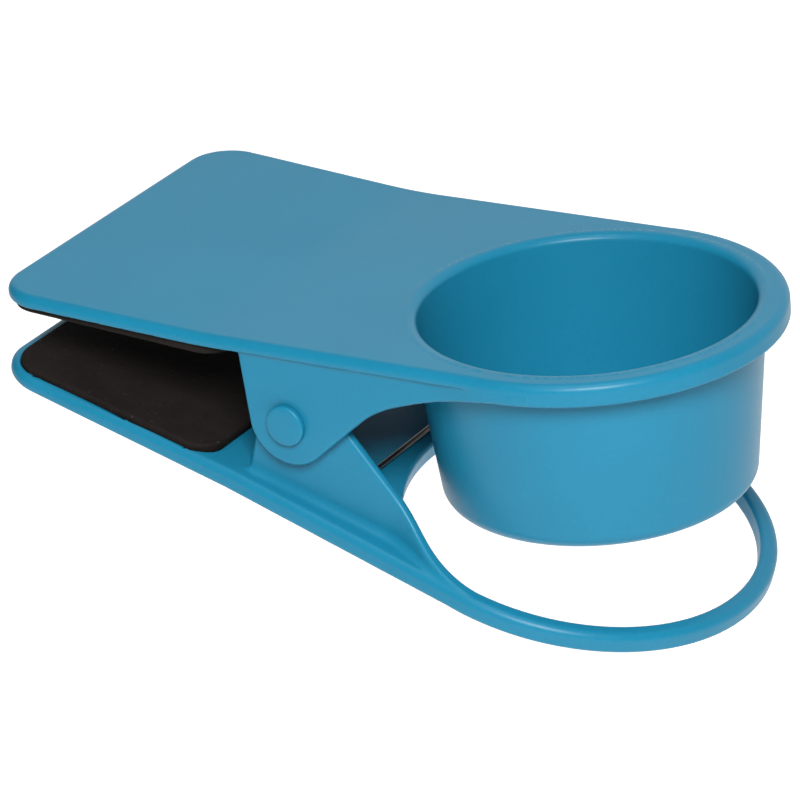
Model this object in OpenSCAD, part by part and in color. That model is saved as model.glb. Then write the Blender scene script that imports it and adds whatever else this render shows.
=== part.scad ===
// Desk clamp cup holder: a spring clamp for a desk edge, with a cup moulded into its upper jaw.
//
// Frame: the origin is the middle of the upper pad's grip face, where it lies on the desk top. +Z is up the
// cup's axis, the jaws point along -X and the cup hangs at +X. Each jaw is drawn in a simpler frame of its own
// and then put in place: upper pieces with the cup's axis at x = 0 and the plate's top at z = 0, and lower
// pieces round the hinge axis with their plate level.

/* [Cup] */
// Inner radius of the cup at its mouth
mouth_r = 44; // [42:0.5:45]
// Outer radius of the cup where it leaves the rim
cup_top_r = 46.1; // [46:0.1:46.4]
// Outer radius of the cup at its foot
cup_foot_r = 41.2; // [40:0.2:42]
// Height of the cup, from the plate's top to its foot
cup_height = 51.2; // [46:0.2:56]
// Thickness of the cup's wall and floor
cup_wall = 2.2; // [2:0.1:2.6]

/* [Upper jaw] */
// Distance from the cup's axis to the jaw's tip
reach = 151; // [140:1:165]
// Half width of the jaw at its tip
tip_half = 55.6; // [53:0.2:56]
// Outer radius of the rim round the cup, and half width of the waist
rim_r = 52.3; // [52:0.1:53]
// Radius of the jaw's corners in plan
corner_r = 13; // [8:1:18]
// Thickness of the upper plate
plate_t = 3.4; // [3:0.1:4]
// Angle by which the plate bends up towards its tip
bend = 4.06; // [0.5:0.02:5]
// Depth of the rim's skirt, from the plate's top
skirt_depth = 6; // [5:0.2:7]

/* [Hinge] */
// Distance from the cup's axis to the hinge axis
hinge_back = 62; // [61:0.5:64]
// Depth of the hinge axis below the plate's top
hinge_drop = 22.3; // [21.5:0.1:23]
// Radius of the rod
pin_r = 2.5; // [2:0.1:3]
// Radius of the ears round the hinge
ear_r = 11.9; // [11:0.1:13]
// Radius of the cheeks round the hinge
hub_r = 10.8; // [10:0.1:11]
// Tilt of the lower jaw when the clamp is let go
rest_tilt = 17.4; // [15:0.1:18]

/* [Lower jaw] */
// Height of the hinge axis above the lower plate
lower_drop = 21.25; // [20.5:0.05:22]
// Thickness of the lower plate and the loop
lower_t = 5.45; // [5:0.05:6]
// Thickness of the lower plate at its tip
lower_tip_t = 3.6; // [3.4:0.1:4]
// Inner radius of the loop
loop_in_r = 50.4; // [50:0.1:51]
// Outer radius of the loop
loop_out_r = 55.3; // [55:0.1:57]

/* [Pads and spring] */
// Thickness of the foam pads
pad_t = 3; // [2.6:0.1:3.2]
// Diameter of the spring's wire
wire_d = 1.6; // [1.6:0.1:2.2]
// Full turns in each coil
turns = 4; // [3:1:4]

/* [Hidden] */
$fn = 96;
far = 200;

// Pads, in the upper frame's x
film_t = 0.2;
pad_corner = 8;
upper_pad_x = [-148.3, -80];
upper_pad_half = 51.2;
upper_recess = 0.3;
lower_pad_x = [-85.3, -21.6];
lower_pad_half = 50.4;
lower_recess = 1.5;
lower_recess_spare = 1.1;
recess_gap = 0.4;
film_inset = 1.2;

// Bend of the upper plate, in the upper frame
bend_x = -77.2;
bend_r = 200;
grip_depth = plate_t - upper_recess + film_t + pad_t;

// Place of the two frames
cup_x = -(upper_pad_x[0] + upper_pad_x[1]) / 2;
bend_foot = [bend_x - (bend_r + grip_depth) * sin(bend), bend_r - (bend_r + grip_depth) * cos(bend)];
plate_top = -bend_foot[1] - (bend_foot[0] + cup_x) * tan(bend);

// Rim, ears, cheeks and what lies between them
skirt_t = 2.7;
ear_face = 51;
ear_t = 3.2;
cheek_face = 47.3;
cheek_t = 3;
cheek_in = cheek_face - cheek_t;
boss_r = 5.5;
boss_tip = 33.8;
running = 0.07;
ear_rise = 38.3;
sweep_r = 122;
sweep_end = 12;
sweep_turn = 20;
elbow_r = 34;
cheek_fall = 33.6;
waist_back = 76;

// Lower jaw, round the hinge axis
loop_x = hinge_back;
lower_tip = hinge_back - reach;
lower_tip_half = 53.4;
lower_waist = 52.4;
full_t_x = hinge_back - waist_back;
hole_left = 19;
hole_left_r = 60;
loop_wall = 3;
taper = atan((lower_t - lower_tip_t) / (full_t_x - lower_tip));

// Stops that end the closing: a nose on each cheek meets a rib under the plate
nose = [-4.5, 1.5];
nose_top = 17.2;
stop_gap = 0.2;
stop_w = 2.5;
stop_foot = 12.8;

// Pin and caps
pin_proud = 1.3;
cap_r = 5.6;
cap_t = 2;
cap_edge = 0.9;

// Spring
wire_r = wire_d / 2;
coil_r = boss_r + 0.5 + wire_r;
coil_pitch = wire_d + 0.12;
coil_out = 43;
wire_gap = 0.2;
wire_sides = 10;
bend_steps = 5;

// Points of an arc of radius r about c, from angle a to angle b
function arc(c, r, a, b, n) = [for (i = [0:n]) c + r * [cos(a + (b - a) * i / n), sin(a + (b - a) * i / n)]];

module upper_frame() translate([cup_x, 0, plate_top]) children();

module hinge_frame() upper_frame() translate([-hinge_back, 0, -hinge_drop]) children();

module lower_frame() hinge_frame() rotate([0, rest_tilt, 0]) children();

// A prism across the full width from an outline in x and z
module across() rotate([90, 0, 0]) linear_extrude(2 * far, center = true) children();

// A prism between two distances from the middle plane, on both sides
module both_sides(y0, y1) {
    for (side = [-1, 1])
        translate([0, side * (y0 + y1) / 2, 0])
            rotate([90, 0, 0]) linear_extrude(y1 - y0, center = true) children();
}

// A round bar across the middle plane, on both sides
module both_bars(r, y0, y1) {
    for (side = [-1, 1])
        translate([0, side * (y0 + y1) / 2, 0])
            rotate([90, 0, 0]) cylinder(h = y1 - y0, r = r, center = true);
}

// Side view of the layer of the upper plate, or of what lies under it, between two depths below its top
function layer(d0, d1) =
    let (tip = bend_r * [-cos(bend), sin(bend)],
         edge = [for (d = [d0, d1])
             concat([[rim_r + 1, -d]], arc([bend_x, bend_r], bend_r + d, 270, 270 - bend, 6))])
    concat(edge[0], [edge[0][7] + tip, edge[1][7] + tip], [for (i = [7:-1:0]) edge[1][i]]);

// Plan of a jaw: round corners at the tip, straight sides to the waist, then on into the round end
module jaw_plan(tip, half_tip, waist_x, half_waist, end_x, end_r) {
    slope = (half_tip - half_waist) / (waist_x - tip);
    corner = [tip + corner_r, half_tip - corner_r * (slope + sqrt(1 + slope * slope))];
    side = concat(arc(corner, corner_r, 180, 90 - atan(slope), 9),
                  [[waist_x, half_waist], [end_x, end_r - 0.1]]);
    polygon(concat(side, [for (i = [len(side) - 1:-1:0]) [side[i][0], -side[i][1]]]));
    translate([end_x, 0]) circle(end_r);
}

// Plan of a pad with its edges moved out by grow
module pad_plan(span, half, grow) {
    r = pad_corner + grow;
    length = span[1] - span[0] + 2 * grow;
    translate([(span[0] + span[1]) / 2, 0]) {
        square([length - 2 * r, 2 * (half + grow)], center = true);
        square([length, 2 * (half + grow - r)], center = true);
        for (sx = [-1, 1], sy = [-1, 1]) translate([sx * (length / 2 - r), sy * (half + grow - r)]) circle(r);
    }
}

// ---------------------------------------------------------------- upper jaw

// Half section of the rim and the cup, in radius and z
function cup_section() =
    let (mouth_edge = 2.4, foot_edge = 3.7, floor_edge = 2.6, floor_z = -cup_height + cup_wall,
         lean = atan((cup_top_r - cup_foot_r) / (cup_height - skirt_depth)),
         floor_r = cup_foot_r - cup_wall + 0.2)
    concat([[0, floor_z]],
           arc([floor_r - floor_edge, floor_z + floor_edge], floor_edge, -90, -lean, 6),
           arc([mouth_r + mouth_edge, -mouth_edge], mouth_edge, 180 - lean, 90, 8),
           [[rim_r, 0], [rim_r, -skirt_depth], [rim_r - skirt_t, -skirt_depth], [rim_r - skirt_t, -plate_t]],
           [[cup_top_r, -plate_t], [cup_top_r, -skirt_depth]],
           arc([cup_foot_r - foot_edge, foot_edge - cup_height], foot_edge, -lean, -90, 8),
           [[0, -cup_height]]);

// Outline of an ear and of the sweep that runs from it into the rim's skirt, round the hinge axis
function ear_outline() =
    let (sweep_top = hinge_drop - skirt_depth + 0.3,
         sweep_c = [sweep_end + hinge_back, sweep_top - sweep_r],
         joint = sweep_c + sweep_r * [-sin(sweep_turn), cos(sweep_turn)],
         elbow_c = joint - elbow_r * [-sin(sweep_turn), cos(sweep_turn)],
         roof = hinge_drop - plate_t + 1)
    concat([[-ear_r - 1.5, roof]],
           arc([0, 0], ear_r, 184, 270 + ear_rise, 14),
           arc(elbow_c, elbow_r, 90 + ear_rise, 90 + sweep_turn, 4),
           arc(sweep_c, sweep_r, 90 + sweep_turn, 90, 12),
           [[sweep_end + hinge_back, roof]]);

module ears() {
    meet_x = -sqrt(rim_r * rim_r - ear_face * ear_face);
    intersection() {
        translate([-hinge_back, 0, -hinge_drop]) across() polygon(ear_outline());
        union() {
            for (side = [-1, 1]) translate([-far, side * (ear_face - ear_t / 2) - ear_t / 2, -far])
                cube([far + meet_x + 0.5, ear_t, far]);
            translate([meet_x, 0, -20]) difference() {
                translate([-meet_x, 0, 0]) cylinder(h = 19, r = rim_r);
                translate([-meet_x, 0, -1]) cylinder(h = 21, r = rim_r - skirt_t);
                translate([-far, -far / 2, -1]) cube([far, far, 21]);
            }
        }
    }
}

module stop_ribs() {
    translate([-hinge_back, 0, -hinge_drop])
        both_sides(cheek_in, ear_face - ear_t + 1)
            translate([nose[1] + stop_gap, stop_foot]) square([stop_w, hinge_drop - plate_t - stop_foot + 1]);
}

// What lies under the plate between two depths, within the pad's plan with its edges moved out by grow
module under_plate(d0, d1, grow) {
    intersection() {
        translate([0, 0, -far / 2]) linear_extrude(far) pad_plan(upper_pad_x, upper_pad_half, grow);
        across() polygon(layer(d0, d1));
    }
}

module upper_jaw() {
    color("steelblue") upper_frame() difference() {
        union() {
            difference() {
                intersection() {
                    translate([0, 0, -far / 2]) linear_extrude(far)
                        jaw_plan(-reach, tip_half, -waist_back, rim_r, 0, rim_r);
                    across() polygon(layer(0, plate_t));
                }
                translate([0, 0, -far / 2]) cylinder(h = far, r = rim_r - skirt_t / 2);
            }
            rotate_extrude() polygon(cup_section());
            ears();
            stop_ribs();
        }
        translate([-hinge_back, 0, -hinge_drop])
            rotate([90, 0, 0]) cylinder(h = far, r = pin_r, center = true);
        under_plate(plate_t - upper_recess, plate_t + 1, recess_gap);
    }
}

// ---------------------------------------------------------------- lower jaw

// Side view of the lower plate, thinner towards its tip
function plate_side() =
    [[lower_tip - 1, -lower_drop - lower_t], [far, -lower_drop - lower_t], [far, -lower_drop],
     [full_t_x, -lower_drop], [lower_tip - 1, -lower_drop - (full_t_x - lower_tip + 1) * tan(taper)]];

// Side view of a cheek: upright front, round the hinge, then down a slope that ends on the loop
function cheek_side() =
    let (start = hub_r * [sin(cheek_fall), cos(cheek_fall)],
         foot_r = 43,
         bend_z = foot_r * (1 - cos(cheek_fall)) - lower_drop,
         bend_x = start[0] + (start[1] - bend_z) / tan(cheek_fall),
         foot_c = [bend_x + foot_r * sin(cheek_fall), foot_r - lower_drop])
    concat([[-hub_r, -lower_drop - 1]],
           arc([0, 0], hub_r, 180, 90 - cheek_fall, 14),
           arc(foot_c, foot_r, -90 - cheek_fall, -90, 10),
           [[foot_c[0], -lower_drop - 1]]);

module cheeks() {
    both_bars(boss_r, boss_tip, cheek_in + 1);
    intersection() {
        across() {
            polygon(cheek_side());
            rotate(rest_tilt) translate([nose[0], 0]) square([nose[1] - nose[0], nose_top]);
        }
        union() {
            both_sides(cheek_in, cheek_face) translate([-hub_r, -far]) square([hub_r + 37.4, 2 * far]);
            intersection() {
                translate([37.2, -far, -far]) cube(2 * far);
                translate([loop_x, 0, -far]) difference() {
                    cylinder(h = 2 * far, r = loop_in_r + loop_wall);
                    translate([0, 0, -1]) cylinder(h = 2 * far + 2, r = loop_in_r);
                }
            }
        }
    }
}

// A frame that lies on the lower plate's sloping top, with z = 0 there
module lower_top_frame() {
    mid = (lower_pad_x[0] + lower_pad_x[1]) / 2;
    translate([mid, 0, -lower_drop - (full_t_x - mid) * tan(taper)])
        rotate([0, -taper, 0]) translate([-mid, 0, 0]) children();
}

module lower_jaw() {
    color("steelblue") lower_frame() difference() {
        union() {
            intersection() {
                translate([0, 0, -far]) linear_extrude(2 * far)
                    jaw_plan(lower_tip, lower_tip_half, full_t_x, lower_waist, loop_x, loop_out_r);
                across() polygon(plate_side());
            }
            cheeks();
        }
        translate([0, 0, -lower_drop - lower_t - 1]) intersection() {
            translate([loop_x, 0, 0]) cylinder(h = lower_t + 2, r = loop_in_r);
            translate([hole_left + hole_left_r, 0, 0]) cylinder(h = lower_t + 2, r = hole_left_r);
        }
        rotate([90, 0, 0]) cylinder(h = far, r = pin_r + running, center = true);
        lower_top_frame() translate([0, 0, -lower_recess]) linear_extrude(lower_recess + 5)
            pad_plan([lower_pad_x[0], lower_pad_x[1] + lower_recess_spare], lower_pad_half, recess_gap);
    }
}

// ---------------------------------------------------------------- pads

module upper_pad() color([0.09, 0.08, 0.08]) upper_frame() under_plate(grip_depth - pad_t, grip_depth, 0);

module upper_pad_adhesive() {
    color([0.85, 0.8, 0.6]) upper_frame()
        under_plate(plate_t - upper_recess, grip_depth - pad_t, -film_inset);
}

module lower_pad() {
    color([0.09, 0.08, 0.08]) lower_frame() lower_top_frame()
        translate([0, 0, film_t - lower_recess]) linear_extrude(pad_t)
            pad_plan(lower_pad_x, lower_pad_half, 0);
}

module lower_pad_adhesive() {
    color([0.85, 0.8, 0.6]) lower_frame() lower_top_frame()
        translate([0, 0, -lower_recess]) linear_extrude(film_t)
            pad_plan(lower_pad_x, lower_pad_half, -film_inset);
}

// ---------------------------------------------------------------- hinge hardware

module pivot_pin() {
    color("silver") hinge_frame() rotate([90, 0, 0])
        cylinder(h = 2 * (ear_face + pin_proud), r = pin_r, center = true);
}

// Round push-on cap with a rolled edge, its open face at z = 0
module pin_cap() {
    difference() {
        rotate_extrude() polygon(concat([[0, 0], [cap_r, 0]],
            arc([cap_r - cap_edge, cap_t - cap_edge], cap_edge, 0, 90, 6), [[0, cap_t]]));
        translate([0, 0, -1]) cylinder(h = 1 + pin_proud, r = pin_r);
    }
}

module pin_cap_near()
    color("steelblue") hinge_frame() translate([0, -ear_face, 0]) rotate([90, 0, 0]) pin_cap();

module pin_cap_far()
    color("steelblue") hinge_frame() translate([0, ear_face, 0]) rotate([-90, 0, 0]) pin_cap();

// Angle at which a wire leaves the coil for a point p, on the side given by sense
function leave(p, sense) = atan2(p[1], p[0]) + sense * acos(coil_r / norm(p));

// Middle line of the far half of the spring, round the hinge axis with the clamp let go: the foot under the
// upper plate, the coil from its outer to its inner end, then the lower leg down to the bridge on the lower plate.
// Opening the clamp winds the coils up.
function spring_half() =
    let (upper_end = [13.5, hinge_drop - plate_t - wire_gap - wire_r],
         level = [14.8, -lower_drop + wire_gap + wire_r],
         lower_end = [level[0] * cos(rest_tilt) + level[1] * sin(rest_tilt),
                      level[1] * cos(rest_tilt) - level[0] * sin(rest_tilt)],
         from = leave(upper_end, 1),
         to = leave(lower_end, -1) + 360 * (turns + 1),
         steps = 20 * turns,
         pitch = coil_pitch / 360)
    concat([[upper_end[0] + 5, coil_out, upper_end[1]]],
           [[upper_end[0], coil_out, upper_end[1]]],
           [for (i = [0:steps]) let (a = from + (to - from) * i / steps)
               [coil_r * cos(a), coil_out - wire_r - pitch * (a - from), coil_r * sin(a)]],
           let (y = coil_out - wire_r - pitch * (to - from), bend = 2.5,
                down = unit(lower_end - coil_r * [cos(to), sin(to)]))
           [for (i = [0:bend_steps]) let (a = 90 * i / bend_steps, p = lower_end - bend * (1 - sin(a)) * down)
               [p[0], y - bend * (1 - cos(a)), p[1]]]);

function mirror_y(path) = [for (i = [len(path) - 1:-1:0]) [path[i][0], -path[i][1], path[i][2]]];

function unit(v) = v / norm(v);

// Directions along a path, and a sideways direction carried along it without twist
function headings(p) = [for (i = [0:len(p) - 1]) unit(p[min(i + 1, len(p) - 1)] - p[max(i - 1, 0)])];
function carried(t, side, i) =
    i == len(t) ? [] : let (s = unit(side - (side * t[i]) * t[i])) concat([s], carried(t, s, i + 1));

// A closed tube of radius r along a path
module tube(path, r) {
    t = headings(path);
    s = carried(t, [0, 1, 0.3], 0);
    n = wire_sides;
    rings = len(path);
    points = [for (i = [0:rings - 1], k = [0:n - 1])
        path[i] + r * (cos(360 * k / n) * s[i] + sin(360 * k / n) * cross(t[i], s[i]))];
    walls = [for (i = [0:rings - 2], k = [0:n - 1])
        [i * n + k, i * n + (k + 1) % n, (i + 1) * n + (k + 1) % n, (i + 1) * n + k]];
    polyhedron(points, concat(walls, [[for (k = [n - 1:-1:0]) k]],
        [[for (k = [0:n - 1]) (rings - 1) * n + k]]), convexity = 10);
}

module torsion_spring() {
    half = spring_half();
    color("gainsboro") hinge_frame() tube(concat(half, mirror_y(half)), wire_r);
}

upper_jaw();
lower_jaw();
upper_pad();
upper_pad_adhesive();
lower_pad();
lower_pad_adhesive();
pivot_pin();
pin_cap_near();
pin_cap_far();
torsion_spring();
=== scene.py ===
"""Looks of the desk clamp cup holder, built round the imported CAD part.

Sizes in the profile functions are in millimetres. They are drawn in the jaw's own frame, then moved into the
row frame in metres. The upper jaw's frame has the cup's axis at x = 0 and the plate's top at z = 0. The lower
jaw's frame has the hinge axis at the origin and its plate level.
"""

import math

import bpy
import numpy as np
from mathutils import Matrix, Vector


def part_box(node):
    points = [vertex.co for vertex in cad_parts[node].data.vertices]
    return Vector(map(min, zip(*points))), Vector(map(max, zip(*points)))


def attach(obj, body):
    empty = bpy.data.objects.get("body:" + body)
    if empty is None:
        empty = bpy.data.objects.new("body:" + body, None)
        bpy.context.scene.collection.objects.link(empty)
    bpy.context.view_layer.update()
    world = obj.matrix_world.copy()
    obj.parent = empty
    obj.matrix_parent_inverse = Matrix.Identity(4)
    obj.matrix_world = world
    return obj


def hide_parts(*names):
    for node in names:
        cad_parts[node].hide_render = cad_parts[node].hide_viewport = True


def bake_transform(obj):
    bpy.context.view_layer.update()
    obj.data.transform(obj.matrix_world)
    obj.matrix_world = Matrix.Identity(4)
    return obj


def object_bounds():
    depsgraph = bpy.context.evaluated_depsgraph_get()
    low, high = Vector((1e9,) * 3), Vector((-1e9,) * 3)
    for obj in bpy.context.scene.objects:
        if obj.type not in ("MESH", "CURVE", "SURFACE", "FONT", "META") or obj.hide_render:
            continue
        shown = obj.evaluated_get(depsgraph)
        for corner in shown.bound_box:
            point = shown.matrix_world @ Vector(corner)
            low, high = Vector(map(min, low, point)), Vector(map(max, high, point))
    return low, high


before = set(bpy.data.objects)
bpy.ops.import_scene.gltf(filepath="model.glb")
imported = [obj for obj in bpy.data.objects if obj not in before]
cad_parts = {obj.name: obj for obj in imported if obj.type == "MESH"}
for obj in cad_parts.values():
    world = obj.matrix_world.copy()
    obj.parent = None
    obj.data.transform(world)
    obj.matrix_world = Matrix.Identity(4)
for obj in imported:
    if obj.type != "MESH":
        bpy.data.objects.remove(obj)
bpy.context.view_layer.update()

MM = 0.001

# Sizes shared by both jaws
RIM_R = 52.3
WAIST_BACK = 76.0
CORNER_R = 13.0
PLATE_T = 3.4
SKIRT_DEPTH = 6.0
EAR_R = 11.9
HUB_R = 10.8
PIN_R = 2.5
REST_TILT = math.radians(17.4)
LOWER_DROP = 21.25
LOWER_T = 5.45
LOWER_TIP_T = 3.6
LOOP_IN_R = 50.4
LOOP_OUT_R = 55.3
CHEEK_IN = 44.3
CHEEK_OUT = 47.3

# Places taken from the CAD part
upper_low, upper_high = (np.array(corner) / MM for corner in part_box("upper_jaw"))
cap_low, cap_high = (np.array(corner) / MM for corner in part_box("pin_cap_near"))
CUP_HEIGHT = 51.2
CUP_X = upper_high[0] - RIM_R
PLATE_TOP = upper_low[2] + CUP_HEIGHT
REACH = CUP_X - upper_low[0]
TIP_HALF = upper_high[1]
TIP_RISE = upper_high[2] - PLATE_TOP
HINGE_X, HINGE_Z = (cap_low[0] + cap_high[0]) / 2, (cap_low[2] + cap_high[2]) / 2
HINGE_BACK = CUP_X - HINGE_X
HINGE_DROP = PLATE_TOP - HINGE_Z
EAR_FACE = -cap_high[1]
CAP_R = (cap_high[0] - cap_low[0]) / 2
CAP_T = cap_high[1] - cap_low[1]
LOWER_TIP = HINGE_BACK - REACH
LOWER_FULL_T = HINGE_BACK - WAIST_BACK
TAPER = math.atan((LOWER_T - LOWER_TIP_T) / (LOWER_FULL_T - LOWER_TIP))


# ---------------------------------------------------------------- distance functions


def round_max(a, b, r):
    """Where two solids meet, with the edge between their faces rounded to radius r."""
    return np.minimum(-r, np.maximum(a, b)) + np.hypot(np.maximum(a + r, 0), np.maximum(b + r, 0))


def round_min(a, b, r):
    """Two solids joined, with a fillet of radius r between their faces."""
    return -round_max(-a, -b, r)


def soft_min(a, b, reach):
    """The smaller of two distances, with the crease where they cross smoothed over."""
    near = np.maximum(reach - abs(a - b), 0) / reach
    return np.minimum(a, b) - near * near * reach / 4


def arc(centre, r, start, stop, steps):
    """Points of an arc, with its angles in degrees."""
    angles = np.radians(np.linspace(start, stop, steps + 1))
    return [(centre[0] + r * math.cos(t), centre[1] + r * math.sin(t)) for t in angles]


def to_outline(outline, u, v):
    """Signed distance from points to a closed outline, negative inside it."""
    nearest, inside = None, None
    for (ax, ay), (bx, by) in zip(outline, outline[1:] + outline[:1]):
        ex, ey = bx - ax, by - ay
        length = ex * ex + ey * ey
        if length < 1e-12:
            continue
        along = np.clip(((u - ax) * ex + (v - ay) * ey) / length, 0, 1)
        square = (u - ax - along * ex) ** 2 + (v - ay - along * ey) ** 2
        rises = np.sign(by - ay)
        crosses = ((v >= ay) != (v >= by)) & ((u - ax) * (by - ay) * rises < (v - ay) * ex * rises)
        nearest = square if nearest is None else np.minimum(nearest, square)
        inside = crosses if inside is None else inside ^ crosses
    return np.sqrt(nearest) * np.where(inside, -1, 1)


def jaw_plan(x, y, tip, half_tip, waist_x, half_waist, end_x, end_r):
    """Signed distance to a jaw in plan: round tip corners, straight sides to the waist, then a round end."""
    slope = (half_tip - half_waist) / (waist_x - tip)
    corner = (tip + CORNER_R, half_tip - CORNER_R * (slope + math.hypot(1, slope)))
    side = [corner, (waist_x, half_waist - CORNER_R), (end_x, end_r - 0.1 - CORNER_R)]
    straight = to_outline(side + [(a, -b) for a, b in side[::-1]], x, y) - CORNER_R
    return np.minimum(np.maximum(straight, x - end_x), np.hypot(x - end_x, y) - end_r)


def round_box(u, v, centre, half, r):
    """Signed distance to a rectangle with round corners."""
    du, dv = abs(u - centre[0]) - half[0] + r, abs(v - centre[1]) - half[1] + r
    return np.hypot(np.maximum(du, 0), np.maximum(dv, 0)) + np.minimum(np.maximum(du, dv), 0) - r


# ---------------------------------------------------------------- upper jaw

UPPER_PAD_X = (-148.3, -80.0)
UPPER_PAD_HALF = 51.2
UPPER_RECESS = 0.3
RECESS_GAP = 0.4
PAD_CORNER = 8.0
PAD_T = 3.0
FILM_T = 0.2
PAD_SPREAD = 0.25
CUP_TOP_R, CUP_FOOT_R, CUP_WALL = 46.1, 41.2, 2.2
MOUTH_R = 44.0
MOUTH_EDGE = 2.4
SKIRT_T = 2.7
EAR_T = 3.2
RIB_X, RIB_Y, RIB_Z = 2.95, 46.5, -6
RIB_HALF = (1.25, 2.2, 3.5)
SWEEP_R, SWEEP_END, SWEEP_TURN = 122.0, 12.0, 20.0
ELBOW_R, EAR_RISE = 34.0, 38.3


def ear_outline():
    """Side view of an ear and the sweep that runs from it into the rim's skirt, round the hinge axis."""
    sweep = np.array([SWEEP_END + HINGE_BACK, HINGE_DROP - SKIRT_DEPTH + 0.3 - SWEEP_R])
    turn = math.radians(SWEEP_TURN)
    inward = np.array([-math.sin(turn), math.cos(turn)])
    elbow = sweep + (SWEEP_R - ELBOW_R) * inward
    roof = HINGE_DROP - PLATE_T + 1
    return (
        [(-EAR_R - 1.5, roof)]
        + arc((0, 0), EAR_R, 184, 184, 0)
        + arc((0, 0), EAR_R - 1, 200, 250 + EAR_RISE, 3)
        + arc((0, 0), EAR_R, 270 + EAR_RISE, 270 + EAR_RISE, 0)
        + arc(elbow, ELBOW_R, 90 + EAR_RISE, 90 + SWEEP_TURN, 8)
        + arc(sweep, SWEEP_R, 90 + SWEEP_TURN, 90, 16)
        + [(SWEEP_END + HINGE_BACK, roof)]
    )


EAR_SIDE = ear_outline()
BEND_X, BEND_R, BEND = -77.2, 200.0, math.radians(4.06)


def unbent(x, z):
    """Place of a point once the plate's upward bend is laid flat."""
    turn = np.clip(np.arctan2(BEND_X - x, BEND_R - z), 0, BEND)
    beyond = (BEND_X - x) * np.cos(turn) - (BEND_R - z) * np.sin(turn)
    away = (BEND_X - x) * np.sin(turn) + (BEND_R - z) * np.cos(turn)
    return BEND_X - BEND_R * turn - beyond, BEND_R - away


def upper_jaw(x, y, z):
    """Signed distance to the upper jaw: plate, rim, cup, ears, stop ribs, bore and pad recess."""
    across, radius = abs(y), np.hypot(x, y)
    flat_x, flat_z = unbent(x, z)
    plan = jaw_plan(x, y, -REACH, TIP_HALF, -WAIST_BACK, RIM_R, 0, RIM_R)
    plate = np.maximum(round_max(plan, flat_z, 2.2), round_max(plan, -PLATE_T - flat_z, 0.6))
    lean = math.atan((CUP_TOP_R - CUP_FOOT_R) / (CUP_HEIGHT - SKIRT_DEPTH))
    outer = soft_min(across - EAR_FACE, radius - RIM_R, 1.5)
    inner = soft_min(across - EAR_FACE + EAR_T, radius - RIM_R + SKIRT_T, 1.5)
    from_axis = (x + HINGE_BACK, z + HINGE_DROP)
    ear_side = np.minimum(to_outline(EAR_SIDE, *from_axis), np.hypot(*from_axis) - EAR_R)
    ear = np.maximum(round_max(outer, ear_side, 0.9), round_max(-inner, ear_side, 0.9))
    body = round_min(plate, ear, 1.2 * np.clip((-4 - x) / 24, 0, 1) + 0.02)
    ring = abs(radius - RIM_R + SKIRT_T / 2) - SKIRT_T / 2
    body = np.minimum(body, np.maximum(round_max(ring, -SKIRT_DEPTH - z, 0.6), z + 2.2))
    wall = (radius - CUP_TOP_R) * math.cos(lean) - (z + SKIRT_DEPTH) * math.sin(lean)
    cup = np.maximum(round_max(wall, -CUP_HEIGHT - z, 3.7), z + 0.5)
    body = round_min(body, cup, 1.0)
    inner = (radius - MOUTH_R) * math.cos(lean) - (z + MOUTH_EDGE) * math.sin(lean)
    body = round_max(body, -round_max(inner, -CUP_HEIGHT + CUP_WALL - z, 2.6), MOUTH_EDGE)
    rib = np.maximum(abs(x + HINGE_BACK - RIB_X) - RIB_HALF[0], abs(across - RIB_Y) - RIB_HALF[1])
    body = np.minimum(body, np.maximum(rib, abs(z - RIB_Z) - RIB_HALF[2]))
    body = np.maximum(body, PIN_R - np.hypot(x + HINGE_BACK, z + HINGE_DROP))
    middle, half = sum(UPPER_PAD_X) / 2, (UPPER_PAD_X[1] - UPPER_PAD_X[0]) / 2 + RECESS_GAP
    recess = round_box(flat_x, y, (middle, 0), (half, UPPER_PAD_HALF + RECESS_GAP), PAD_CORNER + RECESS_GAP)
    return np.maximum(body, -np.maximum(recess, flat_z + PLATE_T - UPPER_RECESS))


# ---------------------------------------------------------------- lower jaw

LOWER_TIP_HALF = 53.4
LOWER_WAIST = 52.4
LOWER_PAD_X = (-85.3, -21.6)
LOWER_PAD_HALF = 50.4
LOWER_RECESS = 1.5
LOWER_RECESS_SPARE = 1.1
CHEEK_FALL = 33.6
CHEEK_FOOT_R = 43.0
HOLE_BACK_X, HOLE_BACK_R = 79, 60
NOSE_MIDDLE, NOSE_HALF = (-1.5, 8.6), (3, 8.6)
BOSS_R, BOSS_Y, BOSS_HALF_T = 5.5, 39.4, 5.6
PIN_PLAY = 0.07


def cheek_outline():
    """Side view of a cheek: upright front, round the hinge, then down a slope that ends on the loop."""
    fall = math.radians(CHEEK_FALL)
    start = (HUB_R * math.sin(fall), HUB_R * math.cos(fall))
    bend_z = CHEEK_FOOT_R * (1 - math.cos(fall)) - LOWER_DROP
    bend_x = start[0] + (start[1] - bend_z) / math.tan(fall)
    foot = (bend_x + CHEEK_FOOT_R * math.sin(fall), CHEEK_FOOT_R - LOWER_DROP)
    return (
        [(-HUB_R, -LOWER_DROP - 3), (-HUB_R, 0), (0, HUB_R - 1)]
        + arc((0, 0), HUB_R, 90 - CHEEK_FALL, 90 - CHEEK_FALL, 0)
        + arc(foot, CHEEK_FOOT_R, -90 - CHEEK_FALL, -90, 16)
        + [(foot[0], -LOWER_DROP - 3)]
    )


CHEEK_SIDE = cheek_outline()


def pad_frame(x, z):
    """Coordinates along the lower plate's sloping top and away from it."""
    middle = sum(LOWER_PAD_X) / 2
    dx, dz = x - middle, z + LOWER_DROP + (LOWER_FULL_T - middle) * math.tan(TAPER)
    return middle + dx * math.cos(TAPER) + dz * math.sin(TAPER), dz * math.cos(TAPER) - dx * math.sin(TAPER)


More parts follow.
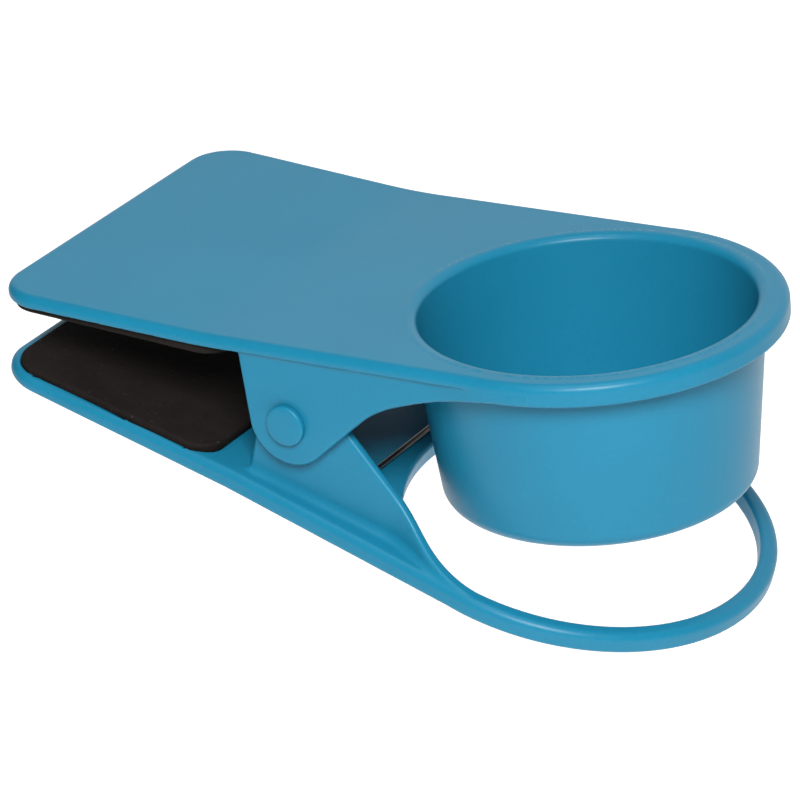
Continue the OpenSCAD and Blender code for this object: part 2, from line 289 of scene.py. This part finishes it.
def lower_jaw(x, y, z):
    """Signed distance to the lower jaw: plate, loop, cheeks with stop noses, bosses, bore and pad recess."""
    across, radius = abs(y), np.hypot(x - HINGE_BACK, y)
    hole = round_max(radius - LOOP_IN_R, np.hypot(x - HOLE_BACK_X, y) - HOLE_BACK_R, 1.5)
    jaw = jaw_plan(x, y, LOWER_TIP, LOWER_TIP_HALF, LOWER_FULL_T, LOWER_WAIST, HINGE_BACK, LOOP_OUT_R)
    plan = np.maximum(jaw, -hole)
    slope = (z + LOWER_DROP + (LOWER_FULL_T - x) * math.tan(TAPER)) * math.cos(TAPER)
    top = np.maximum(z + LOWER_DROP, slope)
    body = np.maximum(round_max(jaw, top, 2.2), round_max(-hole, top, 1.2))
    body = np.maximum(body, round_max(plan, -LOWER_DROP - LOWER_T - z, 0.8))
    cheek_side = np.minimum(to_outline(CHEEK_SIDE, x, z), np.hypot(x, z) - HUB_R)
    tilt_x = x * math.cos(REST_TILT) + z * math.sin(REST_TILT)
    tilt_z = z * math.cos(REST_TILT) - x * math.sin(REST_TILT)
    nose = round_box(tilt_x, tilt_z, NOSE_MIDDLE, NOSE_HALF, 0.6)
    cheek_side = round_min(cheek_side, nose, 1.5)
    grown = 0.95 * np.clip((x - 37) / 28, 0, 1)
    outer = soft_min(across - CHEEK_OUT, radius - LOOP_IN_R - 3 - grown, 3)
    inner = soft_min(across - CHEEK_IN, radius - LOOP_IN_R, 3)
    cheek = np.maximum(round_max(outer, cheek_side, 1.3), round_max(-inner, cheek_side, 1.3))
    outside = np.clip(outer + 1, 0, 1) * np.clip((60 - x) / 20, 0, 1)
    body = round_min(body, np.maximum(cheek, x - HINGE_BACK - 4), 2.4 * outside + 0.02)
    axis = np.hypot(x, z)
    boss = round_max(axis - BOSS_R, abs(across - BOSS_Y) - BOSS_HALF_T, 0.5)
    body = np.maximum(np.minimum(body, boss), PIN_R + PIN_PLAY - axis)
    along, above = pad_frame(x, z)
    middle = (sum(LOWER_PAD_X) + LOWER_RECESS_SPARE) / 2
    half = (LOWER_PAD_X[1] - LOWER_PAD_X[0] + LOWER_RECESS_SPARE) / 2 + RECESS_GAP
    recess = round_box(along, y, (middle, 0), (half, LOWER_PAD_HALF + RECESS_GAP), PAD_CORNER + RECESS_GAP)
    return round_max(body, -round_max(recess, -LOWER_RECESS - above, 0.3), 0.4)


# ---------------------------------------------------------------- foam pads


def foam_waves(x, y, seed):
    """Gentle unevenness of cut foam, in millimetres."""
    rng = np.random.default_rng(seed)
    total = 0.0
    for size in (23.0, 15.0, 9.0, 6.0, 4.0, 3.0):
        turn, phase = rng.uniform(0, math.pi), rng.uniform(0, 2 * math.pi)
        total = total + np.sin((x * math.cos(turn) + y * math.sin(turn)) * 2 * math.pi / size + phase) * 0.012
    return total


def foam_pad(x, y, z, span, half, low, high, seed):
    """Signed distance to a pad cut from foam sheet, its edges pressed softly round."""
    middle, length = sum(span) / 2, (span[1] - span[0]) / 2
    wave = foam_waves(x, y, seed)
    size = (length + PAD_SPREAD, half + PAD_SPREAD)
    plan = round_box(x, y, (middle, 0), size, PAD_CORNER) + foam_waves(x, z * 3, seed + 1)
    return round_max(plan, abs(z - (low + high) / 2) - (high - low) / 2 + 0.03 + wave * 0.5, 0.7)


def upper_pad(x, y, z):
    """Signed distance to the upper pad, which follows the plate's bend."""
    high = -PLATE_T + UPPER_RECESS - FILM_T
    flat_x, flat_z = unbent(x, z)
    return foam_pad(flat_x, y, flat_z, UPPER_PAD_X, UPPER_PAD_HALF, high - PAD_T, high, 5)


def lower_pad(x, y, z):
    """Signed distance to the lower pad, laid on the plate's slope."""
    along, above = pad_frame(x, z)
    low = FILM_T - LOWER_RECESS
    return foam_pad(along, y, above, LOWER_PAD_X, LOWER_PAD_HALF, low, low + PAD_T, 9)


# ---------------------------------------------------------------- meshing

CELL_CORNERS = [(i, j, k) for i in (0, 1) for j in (0, 1) for k in (0, 1)]
CELL_EDGES = [
    (a, b)
    for a in CELL_CORNERS
    for b in CELL_CORNERS
    if sum(b) - sum(a) == 1 and all(p <= q for p, q in zip(a, b))
]


def gradient(solid, points, reach=0.03):
    """Slope of a distance function at points."""
    slopes = np.empty_like(points)
    for axis in range(3):
        shift = np.zeros(3)
        shift[axis] = reach
        slopes[:, axis] = (solid(*(points + shift).T) - solid(*(points - shift).T)) / (2 * reach)
    return slopes


def surface(solid, low, high, step):
    """Points and quads of the zero surface: one point to each cell it crosses, moved onto the surface."""
    axes = [np.arange(a - 1.5 * step, b + 2 * step, step) for a, b in zip(low, high)]
    values = solid(axes[0][:, None, None], axes[1][None, :, None], axes[2][None, None, :])
    cells = tuple(len(axis) - 1 for axis in axes)
    inside = values < 0
    count = sum(
        inside[i : i + cells[0], j : j + cells[1], k : k + cells[2]].astype(np.int8)
        for i, j, k in CELL_CORNERS
    )
    crossed = (count > 0) & (count < 8)
    index = np.argwhere(crossed)
    number = np.full(cells, -1)
    number[crossed] = np.arange(len(index))
    total, hits = np.zeros((len(index), 3)), np.zeros(len(index))
    for a, b in CELL_EDGES:
        va, vb = values[tuple((index + a).T)], values[tuple((index + b).T)]
        share = np.clip(va / np.where(va == vb, 1, va - vb), 0, 1)
        hit = (va < 0) != (vb < 0)
        total += np.where(hit[:, None], np.array(a) + share[:, None] * (np.array(b) - a), 0)
        hits += hit
    points = (index + total / hits[:, None]) * step + [axis[0] for axis in axes]
    quads = []
    for axis in range(3):
        u, v = (axis + 1) % 3, (axis + 2) % 3
        first = [slice(1, -1)] * 3
        first[axis] = slice(0, -1)
        second = list(first)
        second[axis] = slice(1, None)
        here, there = inside[tuple(first)], inside[tuple(second)]
        for start, order in ((here & ~there, (0, 1, 2, 3)), (there & ~here, (3, 2, 1, 0))):
            base = np.argwhere(start)
            base[:, [u, v]] += 1
            ring = []
            for du, dv in ((-1, -1), (0, -1), (0, 0), (-1, 0)):
                cell = base.copy()
                cell[:, u] += du
                cell[:, v] += dv
                ring.append(number[tuple(cell.T)])
            quads.append(np.stack([ring[i] for i in order], 1))
    for _ in range(3):
        slope = gradient(solid, points)
        move = solid(*points.T)[:, None] * slope / np.maximum((slope**2).sum(1), 0.25)[:, None]
        points -= np.clip(move, -step / 2, step / 2)
    return points, np.concatenate(quads)


def moulding(name, solid, low, high, step, place):
    """A smooth object from a distance function, placed in the row frame."""
    points, quads = surface(solid, low, high, step)
    normals = gradient(solid, points)
    normals /= np.linalg.norm(normals, axis=1)[:, None]
    mesh = bpy.data.meshes.new(name)
    mesh.from_pydata(points, [], quads.tolist())
    mesh.transform(place)
    turned = normals @ np.array(place.to_3x3().normalized()).T
    mesh.polygons.foreach_set("use_smooth", np.ones(len(quads), bool))
    mesh.normals_split_custom_set_from_vertices(turned.tolist())
    made = bpy.data.objects.new(name, mesh)
    bpy.context.scene.collection.objects.link(made)
    return made


UPPER_PLACE = Matrix.Diagonal((MM, MM, MM, 1)) @ Matrix.Translation((CUP_X, 0, PLATE_TOP))
HINGE_PLACE = Matrix.Diagonal((MM, MM, MM, 1)) @ Matrix.Translation((HINGE_X, 0, HINGE_Z))
LOWER_PLACE = HINGE_PLACE @ Matrix.Rotation(REST_TILT, 4, "Y")
STEP = 0.6


# ---------------------------------------------------------------- spring and caps

WIRE_R = 0.8
COIL_R = 6.8
COIL_PITCH = 1.72
COIL_OUT = 43.0
COIL_TURNS = 4


def leave(point, sense):
    """Angle at which a wire leaves the coil for a point, on the side given by sense."""
    return math.atan2(point[1], point[0]) + sense * math.acos(COIL_R / math.hypot(*point))


def rounded_path(points, r, steps=6):
    """A path of straight lines with its corners rounded to radius r."""
    path = [np.array(points[0], float)]
    for before, corner, after in zip(points, points[1:], points[2:]):
        corner = np.array(corner, float)
        back, ahead = np.array(before) - corner, np.array(after) - corner
        cut = min(r, np.linalg.norm(back) / 2.2, np.linalg.norm(ahead) / 2.2)
        a, b = corner + back / np.linalg.norm(back) * cut, corner + ahead / np.linalg.norm(ahead) * cut
        path += [(1 - t) ** 2 * a + 2 * t * (1 - t) * corner + t * t * b for t in np.linspace(0, 1, steps)]
    return path + [np.array(points[-1], float)]


def spring_half():
    """Middle line of the far half of the spring: foot under the upper plate, coil, then leg to the bridge."""
    top = (13.5, HINGE_DROP - PLATE_T - 0.2 - WIRE_R)
    level = (14.8, -LOWER_DROP + 0.2 + WIRE_R)
    cos, sin = math.cos(REST_TILT), math.sin(REST_TILT)
    bottom = (level[0] * cos + level[1] * sin, level[1] * cos - level[0] * sin)
    start, stop = leave(top, 1), leave(bottom, -1) + 2 * math.pi * (COIL_TURNS + 1)
    pitch = COIL_PITCH / (2 * math.pi)
    angles = np.linspace(start, stop, 72 * COIL_TURNS)
    coil = [
        (COIL_R * math.cos(a), COIL_OUT - WIRE_R - pitch * (a - start), COIL_R * math.sin(a)) for a in angles
    ]
    leg = rounded_path([(top[0] + 5, COIL_OUT, top[1]), (top[0], COIL_OUT, top[1]), coil[0]], 2)
    inner = coil[-1][1]
    bridge = rounded_path([coil[-1], (bottom[0], inner, bottom[1]), (bottom[0], inner - 6, bottom[1])], 3, 10)
    return leg[:-1] + [np.array(p) for p in coil] + bridge[1:]


def wire(name, path, r, sides=16):
    """A round wire along a path, with its cut ends slightly rounded."""
    path = np.array(path)
    ahead = np.gradient(path, axis=0)
    ahead /= np.linalg.norm(ahead, axis=1)[:, None]
    sideways, rings = np.array([0.0, 1.0, 0.3]), []
    widths = np.full(len(path), r)
    ends = [path[0] - ahead[0] * r * 0.3, path[-1] + ahead[-1] * r * 0.3]
    for centre, forward, width in zip(path, ahead, widths):
        sideways = sideways - sideways.dot(forward) * forward
        sideways /= np.linalg.norm(sideways)
        up = np.cross(forward, sideways)
        turns = np.linspace(0, 2 * math.pi, sides, endpoint=False)
        rings.append([centre + width * (math.cos(t) * sideways + math.sin(t) * up) for t in turns])
    first = [ends[0] + (p - path[0]) * 0.75 for p in rings[0]]
    last = [ends[1] + (p - path[-1]) * 0.75 for p in rings[-1]]
    rings = [first] + rings + [last]
    faces = [
        (i * sides + k, i * sides + (k + 1) % sides, (i + 1) * sides + (k + 1) % sides, (i + 1) * sides + k)
        for i in range(len(rings) - 1)
        for k in range(sides)
    ]
    faces += [tuple(range(sides))[::-1], tuple((len(rings) - 1) * sides + k for k in range(sides))]
    return smooth_object(name, [p for ring in rings for p in ring], faces, HINGE_PLACE, 50)


def smooth_object(name, points, faces, place, sharp_above):
    """An object with smooth faces, kept sharp where they meet at more than an angle in degrees."""
    mesh = bpy.data.meshes.new(name)
    mesh.from_pydata([tuple(p) for p in points], [], faces)
    mesh.transform(place)
    mesh.polygons.foreach_set("use_smooth", np.ones(len(faces), bool))
    mesh.set_sharp_from_angle(angle=math.radians(sharp_above))
    made = bpy.data.objects.new(name, mesh)
    bpy.context.scene.collection.objects.link(made)
    return made


def cap(name, side):
    """Push-on cap of the hinge rod: a low dome with a rolled edge and a fine groove against the ear."""
    profile = [(CAP_R - 0.35, 0.0), (CAP_R - 0.1, 0.25), (CAP_R, 0.5)]
    profile += arc((CAP_R - 0.7, CAP_T - 0.8), 0.7, 0, 78, 8)
    profile += [(CAP_R * s, CAP_T - 0.1 * s * s) for s in (0.8, 0.6, 0.4, 0.2)]
    sides = 96
    points = []
    for r, depth in profile:
        for k in range(sides):
            t = 2 * math.pi * k / sides
            points.append((r * math.cos(t), side * (EAR_FACE + depth), r * math.sin(t)))
    points += [(0, side * (EAR_FACE + CAP_T), 0), (0, side * EAR_FACE, 0)]
    rows = len(profile)
    faces = [
        (i * sides + k, i * sides + (k + 1) % sides, (i + 1) * sides + (k + 1) % sides, (i + 1) * sides + k)
        for i in range(rows - 1)
        for k in range(sides)
    ]
    last = (rows - 1) * sides
    faces += [(last + k, last + (k + 1) % sides, rows * sides) for k in range(sides)]
    faces += [((k + 1) % sides, k, rows * sides + 1) for k in range(sides)]
    if side < 0:
        faces = [face[::-1] for face in faces]
    return smooth_object(name, points, [face[::-1] for face in faces], HINGE_PLACE, 40)


# ---------------------------------------------------------------- materials


def graph(material):
    """A cleared node tree with a Principled surface, and a helper that adds a node and sets its inputs."""
    material.use_nodes = True
    tree = material.node_tree
    tree.nodes.clear()

    def add(kind, inputs=(), **settings):
        made = tree.nodes.new(kind)
        for key, value in settings.items():
            setattr(made, key, value)
        for key, value in dict(inputs).items():
            if isinstance(value, bpy.types.NodeSocket):
                tree.links.new(value, made.inputs[key])
            else:
                made.inputs[key].default_value = value
        return made

    surface_node = add("ShaderNodeBsdfPrincipled")
    output = add("ShaderNodeOutputMaterial")
    tree.links.new(surface_node.outputs["BSDF"], output.inputs["Surface"])
    return tree, add, surface_node


def ramp(node, stops):
    """Sets a colour ramp's stops to grey levels or colours."""
    while len(node.color_ramp.elements) < len(stops):
        node.color_ramp.elements.new(0.5)
    for element, (place, value) in zip(node.color_ramp.elements, stops):
        element.position = place
        element.color = (value, value, value, 1) if isinstance(value, float) else (*value, 1)
    return node


def teal_plastic():
    """Satin moulded plastic: fine spark-eroded grain, faint colour drift and a painted highlight, slightly
    paler colour on sharp convex edges.
    """
    material = bpy.data.materials.new("teal_plastic")
    tree, add, shader = graph(material)
    place = add("ShaderNodeTexCoord").outputs["Object"]
    drift = add("ShaderNodeTexNoise", {"Vector": place, "Scale": 28.0, "Detail": 4.0, "Roughness": 0.5})
    speck = add("ShaderNodeTexNoise", {"Vector": place, "Scale": 900.0, "Detail": 3.0, "Roughness": 0.6})
    grain = add("ShaderNodeTexNoise", {"Vector": place, "Scale": 2600.0, "Detail": 2.0, "Roughness": 0.55})
    base = ramp(add("ShaderNodeValToRGB", {"Fac": drift.outputs["Fac"]}), [(0.3, TEAL_DEEP), (0.7, TEAL)])
    fine = ramp(add("ShaderNodeValToRGB", {"Fac": speck.outputs["Fac"]}), [(0.3, 0.94), (0.7, 1.0)])
    colours = {"Fac": 1.0, "Color1": base.outputs["Color"], "Color2": fine.outputs["Color"]}
    mixed = add("ShaderNodeMixRGB", colours, blend_type="MULTIPLY")
    edge = add("ShaderNodeNewGeometry").outputs["Pointiness"]
    # Painted highlight: sharp convex edges, found by pointiness, are mixed towards a paler teal.
    edge_highlight = ramp(add("ShaderNodeValToRGB", {"Fac": edge}), [(0.57, 0.0), (0.68, 0.3)])
    colours = {"Fac": edge_highlight.outputs["Color"], "Color1": mixed.outputs["Color"], "Color2": (*TEAL_EDGE_HIGHLIGHT, 1)}
    colour = add("ShaderNodeMixRGB", colours)
    rough = add("ShaderNodeMapRange", {"Value": speck.outputs["Fac"], "To Min": 0.30, "To Max": 0.42})
    bump = add("ShaderNodeBump", {"Height": grain.outputs["Fac"], "Strength": 0.35, "Distance": 0.00004})
    tree.links.new(colour.outputs["Color"], shader.inputs["Base Color"])
    tree.links.new(rough.outputs["Result"], shader.inputs["Roughness"])
    tree.links.new(bump.outputs["Normal"], shader.inputs["Normal"])
    shader.inputs["IOR"].default_value = 1.5
    shader.inputs["Specular IOR Level"].default_value = 0.2
    return material


def foam():
    """Dark fine-celled foam rubber: closed pores, a few pale specks, and a dull surface."""
    material = bpy.data.materials.new("foam_rubber")
    tree, add, shader = graph(material)
    place = add("ShaderNodeTexCoord").outputs["Object"]
    pores = add("ShaderNodeTexVoronoi", {"Vector": place, "Scale": 1500.0, "Randomness": 1.0})
    cloud = add("ShaderNodeTexNoise", {"Vector": place, "Scale": 130.0, "Detail": 5.0, "Roughness": 0.6})
    dust = add("ShaderNodeTexNoise", {"Vector": place, "Scale": 700.0, "Detail": 2.0, "Roughness": 0.7})
    base = ramp(add("ShaderNodeValToRGB", {"Fac": cloud.outputs["Fac"]}), [(0.3, FOAM_DEEP), (0.7, FOAM)])
    fleck = ramp(add("ShaderNodeValToRGB", {"Fac": dust.outputs["Fac"]}), [(0.70, 0.0), (0.76, 0.8)])
    colours = {"Fac": fleck.outputs["Color"], "Color1": base.outputs["Color"], "Color2": (*FOAM_FLECK, 1)}
    colour = add("ShaderNodeMixRGB", colours)
    rough = add("ShaderNodeMapRange", {"Value": cloud.outputs["Fac"], "To Min": 0.8, "To Max": 0.95})
    height = add("ShaderNodeMath", {0: pores.outputs["Distance"], 1: dust.outputs["Fac"]}, operation="ADD")
    bump = add("ShaderNodeBump", {"Height": height.outputs["Value"], "Strength": 0.8, "Distance": 0.00015})
    tree.links.new(colour.outputs["Color"], shader.inputs["Base Color"])
    tree.links.new(rough.outputs["Result"], shader.inputs["Roughness"])
    tree.links.new(bump.outputs["Normal"], shader.inputs["Normal"])
    shader.inputs["Specular IOR Level"].default_value = 0.15
    return material


def steel(name, tint, rough_low, rough_high, across):
    """Drawn steel: fine streaks round the wire or rod, and a dull patchy oil film."""
    material = bpy.data.materials.new(name)
    tree, add, shader = graph(material)
    place = add("ShaderNodeTexCoord").outputs["Object"]
    stretched = add("ShaderNodeMapping", {"Vector": place, "Scale": across}).outputs["Vector"]
    streak = add("ShaderNodeTexNoise", {"Vector": stretched, "Scale": 900.0, "Detail": 4.0, "Roughness": 0.6})
    film = add("ShaderNodeTexNoise", {"Vector": place, "Scale": 160.0, "Detail": 3.0, "Roughness": 0.5})
    dull = tuple(0.72 * c for c in tint)
    base = ramp(add("ShaderNodeValToRGB", {"Fac": film.outputs["Fac"]}), [(0.3, dull), (0.7, tint)])
    spread = {"Value": streak.outputs["Fac"], "To Min": rough_low, "To Max": rough_high}
    rough = add("ShaderNodeMapRange", spread)
    bump = add("ShaderNodeBump", {"Height": streak.outputs["Fac"], "Strength": 0.3, "Distance": 0.00003})
    tree.links.new(base.outputs["Color"], shader.inputs["Base Color"])
    tree.links.new(rough.outputs["Result"], shader.inputs["Roughness"])
    tree.links.new(bump.outputs["Normal"], shader.inputs["Normal"])
    shader.inputs["Metallic"].default_value = 1.0
    return material


def film():
    """Pale double-sided tape with paper fibres showing."""
    material = bpy.data.materials.new("adhesive")
    tree, add, shader = graph(material)
    place = add("ShaderNodeTexCoord").outputs["Object"]
    fibre = add("ShaderNodeTexNoise", {"Vector": place, "Scale": 1200.0, "Detail": 3.0, "Roughness": 0.6})
    base = ramp(add("ShaderNodeValToRGB", {"Fac": fibre.outputs["Fac"]}), [(0.35, TAPE_DEEP), (0.65, TAPE)])
    bump = add("ShaderNodeBump", {"Height": fibre.outputs["Fac"], "Strength": 0.4, "Distance": 0.00003})
    tree.links.new(base.outputs["Color"], shader.inputs["Base Color"])
    tree.links.new(bump.outputs["Normal"], shader.inputs["Normal"])
    shader.inputs["Roughness"].default_value = 0.75
    return material


TEAL = (0.0095, 0.172, 0.288)
TEAL_DEEP = (0.0080, 0.161, 0.270)
# Paler teal painted on sharp edges as a highlight.
TEAL_EDGE_HIGHLIGHT = (0.02, 0.25, 0.39)
FOAM = (0.012, 0.009, 0.0078)
FOAM_DEEP = (0.007, 0.0052, 0.0048)
FOAM_FLECK = (0.07, 0.06, 0.052)
TAPE = (0.55, 0.50, 0.36)
TAPE_DEEP = (0.40, 0.36, 0.25)


def dress(piece, material):
    """Gives a piece its material."""
    piece.data.materials.clear()
    piece.data.materials.append(material)


plastic = teal_plastic()
rubber = foam()
rod = steel("rod_steel", (0.55, 0.55, 0.56), 0.25, 0.4, (1, 0.05, 1))
spring_wire = steel("spring_steel", (0.17, 0.15, 0.135), 0.25, 0.4, (1, 1, 1))
tape = film()


# ---------------------------------------------------------------- pieces

# Heights between which the lower jaw and the pads are looked for
NOSE_TOP = 18
UPPER_PAD_FOOT = -6.6
LOWER_PAD_SPAN = (-24.5, -18)


def add_piece(name, solid, low, high, place, material, body, node, step=STEP):
    """Meshes one moulded or foam piece, dresses it and puts it in the place of its CAD node."""
    piece = moulding(name, solid, low, high, step, place)
    dress(piece, material)
    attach(piece, body)
    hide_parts(node)
    return piece


add_piece(
    "upper_jaw_skin", upper_jaw, (-REACH, -TIP_HALF, -CUP_HEIGHT), (RIM_R, TIP_HALF, TIP_RISE),
    UPPER_PLACE, plastic, "upper", "upper_jaw",
)
add_piece(
    "lower_jaw_skin", lower_jaw, (LOWER_TIP, -LOOP_OUT_R, -LOWER_DROP - LOWER_T),
    (HINGE_BACK + LOOP_OUT_R, LOOP_OUT_R, NOSE_TOP),
    LOWER_PLACE, plastic, "lower", "lower_jaw",
)
upper_foam = add_piece(
    "upper_pad_foam", upper_pad, (UPPER_PAD_X[0] - 1, -UPPER_PAD_HALF, UPPER_PAD_FOOT),
    (UPPER_PAD_X[1], UPPER_PAD_HALF, TIP_RISE), UPPER_PLACE, rubber, "upper", "upper_pad",
)
lower_foam = add_piece(
    "lower_pad_foam", lower_pad, (LOWER_PAD_X[0] - 1, -LOWER_PAD_HALF, LOWER_PAD_SPAN[0]),
    (LOWER_PAD_X[1] + 1, LOWER_PAD_HALF, LOWER_PAD_SPAN[1]),
    LOWER_PLACE, rubber, "lower", "lower_pad",
)

half = spring_half()
spring = wire("spring_wire", half + [p * (1, -1, 1) for p in half[::-1]], WIRE_R)
dress(spring, spring_wire)
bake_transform(spring)
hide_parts("torsion_spring")

for side, node in ((-1, "pin_cap_near"), (1, "pin_cap_far")):
    piece = cap(node + "_skin", side)
    dress(piece, plastic)
    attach(piece, "upper")
    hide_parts(node)

for node, material in (("pivot_pin", rod), ("upper_pad_adhesive", tape), ("lower_pad_adhesive", tape)):
    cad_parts[node].data.materials.clear()
    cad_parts[node].data.materials.append(material)


# ---------------------------------------------------------------- floor, light and camera

low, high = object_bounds()
FLOOR_Z = low[2] - 0.30
LOOK_AT = Vector((CUP_X - 37.1, -35.0, PLATE_TOP - 18.5)) * MM
AZIMUTH, ELEVATION, ROLL = 33.83, 24.43, -5.88
DISTANCE = 1.1707
LENS = 204.66
WORLD_LIGHT = 0.04
FLOOR_PALE = (0.9, 0.9, 0.9)
FLOOR_GREY = (0.86, 0.86, 0.86)
FLOOR_GLOW = 0.67

# Lamps: name, azimuth, elevation, distance and size in metres, power in watts
LAMPS = (
    ("key", 37, 37, 1.4, 0.45, 27),
    ("top", 34, 78, 1.4, 0.6, 5),
)


def around(azimuth, elevation):
    """Direction from the object to a point round it, with angles in degrees. Azimuth 0 is in front, at -Y."""
    a, e = math.radians(azimuth), math.radians(elevation)
    return Vector((math.sin(a) * math.cos(e), -math.cos(a) * math.cos(e), math.sin(e)))


def floor():
    """A plain pale floor that curves up into a wall far behind."""
    size, bend = 6.0, 1.2
    side = [(-size, 0.0), (size * 0.3, 0.0)] + [
        (size * 0.3 + bend * math.sin(t), bend * (1 - math.cos(t))) for t in np.linspace(0.1, math.pi / 2, 12)
    ] + [(size * 0.3 + bend, size)]
    points = [(x, y, z + FLOOR_Z) for y, z in side for x in (-size, size)]
    faces = [(2 * i, 2 * i + 1, 2 * i + 3, 2 * i + 2) for i in range(len(side) - 1)]
    material = bpy.data.materials.new("floor")
    tree, add, shader = graph(material)
    place = add("ShaderNodeTexCoord").outputs["Object"]
    cloud = add("ShaderNodeTexNoise", {"Vector": place, "Scale": 3.0, "Detail": 3.0})
    base = add("ShaderNodeValToRGB", {"Fac": cloud.outputs["Fac"]})
    ramp(base, [(0.3, FLOOR_GREY), (0.7, FLOOR_PALE)])
    tree.links.new(base.outputs["Color"], shader.inputs["Base Color"])
    shader.inputs["Roughness"].default_value = 0.9
    tree.links.new(base.outputs["Color"], shader.inputs["Emission Color"])
    shader.inputs["Emission Strength"].default_value = FLOOR_GLOW
    mesh = bpy.data.meshes.new("floor")
    mesh.from_pydata(points, [], faces)
    mesh.polygons.foreach_set("use_smooth", np.ones(len(faces), bool))
    mesh.materials.append(material)
    made = bpy.data.objects.new("floor", mesh)
    bpy.context.scene.collection.objects.link(made)


def area_light(name, place, size, power, aim=(0.05, 0.0, -0.02)):
    """A soft square lamp aimed at the object."""
    data = bpy.data.lights.new(name, "AREA")
    data.shape, data.size, data.energy = "SQUARE", size, power
    lamp = bpy.data.objects.new(name, data)
    lamp.location = place
    lamp.rotation_euler = (Vector(aim) - Vector(place)).to_track_quat("-Z", "Y").to_euler()
    bpy.context.scene.collection.objects.link(lamp)


def camera():
    """The camera, placed round LOOK_AT by its angles and distance."""
    back = around(AZIMUTH, ELEVATION)
    data = bpy.data.cameras.new("camera")
    data.lens, data.clip_start, data.clip_end = LENS, 0.05, 50
    made = bpy.data.objects.new("camera", data)
    turn = back.to_track_quat("Z", "Y") @ Matrix.Rotation(math.radians(ROLL), 3, "Z").to_quaternion()
    made.rotation_mode = "QUATERNION"
    made.rotation_quaternion = turn
    made.location = LOOK_AT + back * DISTANCE
    bpy.context.scene.collection.objects.link(made)
    bpy.context.scene.camera = made


floor()
for name, azimuth, elevation, distance, size, power in LAMPS:
    area_light(name, around(azimuth, elevation) * distance, size, power)
world = bpy.data.worlds.new("world")
bpy.context.scene.world = world
world.use_nodes = True
world.node_tree.nodes["Background"].inputs["Color"].default_value = (1, 1, 1, 1)
world.node_tree.nodes["Background"].inputs["Strength"].default_value = WORLD_LIGHT
bpy.context.scene.view_settings.view_transform = "Standard"
camera()
